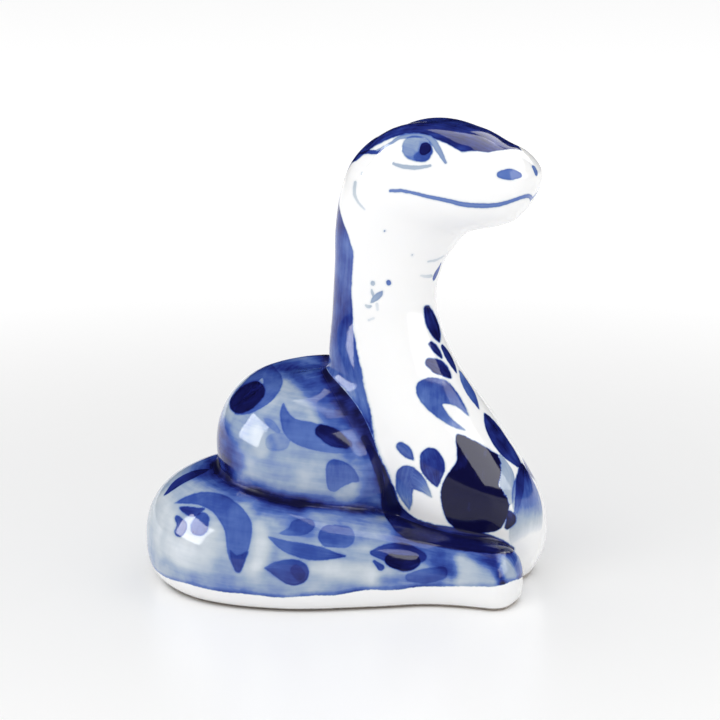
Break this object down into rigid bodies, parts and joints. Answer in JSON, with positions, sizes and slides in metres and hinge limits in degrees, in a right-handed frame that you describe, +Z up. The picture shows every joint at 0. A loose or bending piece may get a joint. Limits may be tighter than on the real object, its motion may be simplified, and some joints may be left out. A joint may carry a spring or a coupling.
{
  "type": "ceramic snake figurine",
  "caption": "Small glazed porcelain snake lying in a coil with its neck raised, painted with blue leaves and sprigs on white",
  "frame": {"origin": "under the middle of the figurine's bounding box, on the flat underside", "axes": "+Z up, the painted front faces -Y, and the snout points to +X"},
  "size_m": [0.0504, 0.0372, 0.0579],
  "materials": {
    "glazed_porcelain": "clear gloss glaze over white porcelain painted with cobalt blue, with an unglazed foot"
  },
  "bodies": {
    "root": {"snake_figurine": "glazed_porcelain"}
  },
  "joints": []
}
